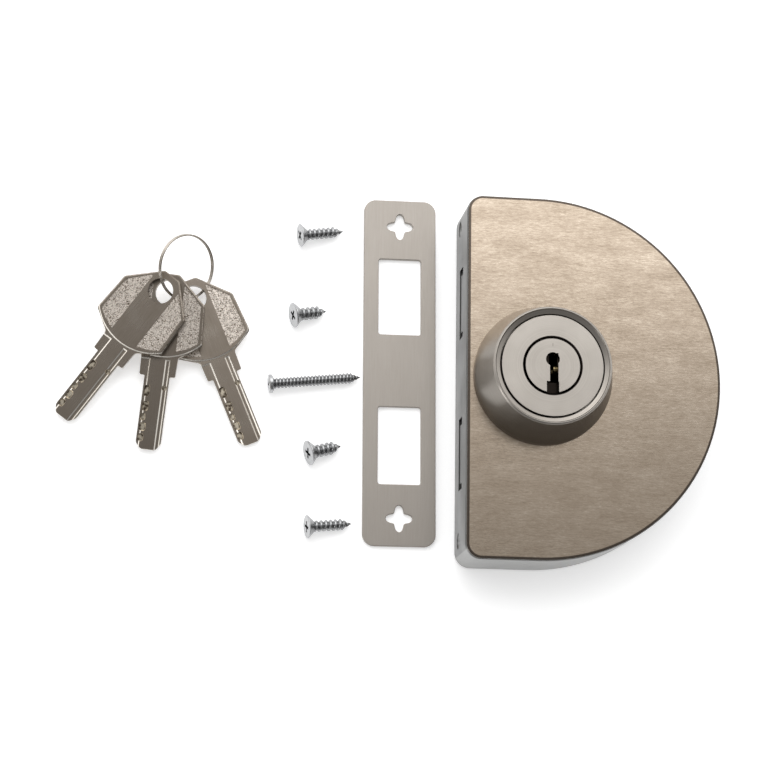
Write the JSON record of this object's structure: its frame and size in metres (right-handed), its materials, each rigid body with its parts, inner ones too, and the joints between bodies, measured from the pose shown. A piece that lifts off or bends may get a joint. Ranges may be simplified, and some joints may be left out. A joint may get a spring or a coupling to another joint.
{
  "type": "sliding glass door lock",
  "caption": "Half-round lock for a sliding glass door: key cylinder in a conical collar, hook bolts in the flat edge, glass clamp, strike plate, loose screws and keys on a split ring.",
  "frame": {"origin": "on the key cylinder's axis, in the plane of the lock's flat back", "axes": "+Z out of the front cover along the cylinder, +X from the flat edge towards the curved edge, +Y to the top of the lock as it hangs on the door"},
  "size_m": [0.2277, 0.1311, 0.0434],
  "materials": {
    "body_grey": "satin grey",
    "cover_champagne": "brushed, champagne tone",
    "satin_nickel": "turned satin nickel",
    "strike_steel": "finely brushed",
    "inner_steel": "plain",
    "screw_steel": "plain",
    "bright_zinc": "bright zinc plate",
    "pin_brass": "plain",
    "spring_steel": "bright",
    "key_nickel": "warm nickel plate",
    "pad_rubber": "matt"
  },
  "bodies": {
    "lock_case": {"lock_body": "body_grey", "front_cover": "cover_champagne", "back_cover": "cover_champagne", "back_cover_screws": "screw_steel", "base_plate": "inner_steel", "base_plate_screws": "screw_steel", "rack_guide_studs": "inner_steel", "upper_hook_pin": "inner_steel", "lower_hook_pin": "inner_steel", "hook_washers": "inner_steel", "cylinder_collar": "satin_nickel", "cylinder_housing": "satin_nickel", "cylinder_ring_nut": "inner_steel", "driver_pins": "pin_brass", "pin_springs": "spring_steel", "chamber_plugs": "pin_brass", "front_glass_pad": "pad_rubber"},
    "plug_body": {"plug": "satin_nickel", "plug_retaining_clip": "inner_steel", "drive_pinion": "inner_steel", "pinion_screw": "screw_steel"},
    "key_pin_stack": {"key_pins": "pin_brass"},
    "rack": {"rack_slide": "inner_steel"},
    "upper_hook_bolt": {"upper_hook": "inner_steel"},
    "lower_hook_bolt": {"lower_hook": "inner_steel"},
    "glass_clamp": {"pressure_plate": "inner_steel", "back_glass_pad": "pad_rubber", "clamp_screws": "screw_steel"},
    "strike": {"strike_plate": "strike_steel"},
    "screw_top": {"countersunk_screw_top": "bright_zinc"},
    "screw_upper": {"short_screw_upper": "bright_zinc"},
    "screw_long": {"long_screw": "bright_zinc"},
    "screw_lower": {"short_screw_lower": "bright_zinc"},
    "screw_bottom": {"countersunk_screw_bottom": "bright_zinc"},
    "key_ring": {"split_ring": "bright_zinc"},
    "left_key": {"key_left": "key_nickel"},
    "middle_key": {"key_middle": "key_nickel"},
    "right_key": {"key_right": "key_nickel"}
  },
  "joints": [
    {"name": "plug_turn", "type": "hinge", "parent": "lock_case", "child": "plug_body", "pos_m": [0, 0, 0.03], "axis": [0, 0, -1], "range_deg": [0, 90]},
    {"name": "key_pins_drop", "type": "slide", "parent": "plug_body", "child": "key_pin_stack", "axis": [-1, 0, 0], "range_m": [0, 0.0015]},
    {"name": "rack_travel", "type": "slide", "parent": "lock_case", "child": "rack", "axis": [0, 1, 0], "range_m": [0, 0.0095]},
    {"name": "upper_hook_swing", "type": "hinge", "parent": "lock_case", "child": "upper_hook_bolt", "pos_m": [-0.021, 0.0205, 0.013], "axis": [0, 0, 1], "range_deg": [0, 90.1]},
    {"name": "lower_hook_swing", "type": "hinge", "parent": "lock_case", "child": "lower_hook_bolt", "pos_m": [-0.021, -0.0329, 0.013], "axis": [0, 0, 1], "range_deg": [0, 90.1]},
    {"name": "glass_clamp_press", "type": "slide", "parent": "lock_case", "child": "glass_clamp", "axis": [0, 0, 1], "range_m": [0, 0.0015]},
    {"name": "strike_lift", "type": "slide", "parent": "lock_case", "child": "strike", "axis": [0, 0, 1], "range_m": [0, 0.06]},
    {"name": "top_screw_lift", "type": "slide", "parent": "lock_case", "child": "screw_top", "axis": [0, 0, 1], "range_m": [0, 0.06]},
    {"name": "upper_screw_lift", "type": "slide", "parent": "lock_case", "child": "screw_upper", "axis": [0, 0, 1], "range_m": [0, 0.06]},
    {"name": "long_screw_lift", "type": "slide", "parent": "lock_case", "child": "screw_long", "axis": [0, 0, 1], "range_m": [0, 0.06]},
    {"name": "lower_screw_lift", "type": "slide", "parent": "lock_case", "child": "screw_lower", "axis": [0, 0, 1], "range_m": [0, 0.06]},
    {"name": "bottom_screw_lift", "type": "slide", "parent": "lock_case", "child": "screw_bottom", "axis": [0, 0, 1], "range_m": [0, 0.06]},
    {"name": "key_bunch_lift", "type": "slide", "parent": "lock_case", "child": "key_ring", "axis": [0, 0, 1], "range_m": [0, 0.08]},
    {"name": "left_key_swing", "type": "hinge", "parent": "key_ring", "child": "left_key", "pos_m": [-0.1307, 0.0279, 0.0095], "axis": [-0.1464, -0.0756, 0.9863], "range_deg": [-10, 0]},
    {"name": "middle_key_swing", "type": "hinge", "parent": "key_ring", "child": "middle_key", "pos_m": [-0.12798, 0.028, 0.00749], "axis": [-0.1451, -0.0919, 0.9851], "range_deg": [-2, 2]},
    {"name": "right_key_swing", "type": "hinge", "parent": "key_ring", "child": "right_key", "pos_m": [-0.11905, 0.0276, 0.00338], "axis": [0.0167, -0.0382, 0.9991], "range_deg": [0, 10]}
  ],
  "couplings": [
    {"joint": "rack_travel", "follows": "plug_turn", "m_per_rad": 0.006},
    {"joint": "upper_hook_swing", "follows": "plug_turn", "ratio": 1},
    {"joint": "lower_hook_swing", "follows": "plug_turn", "ratio": 1}
  ]
}
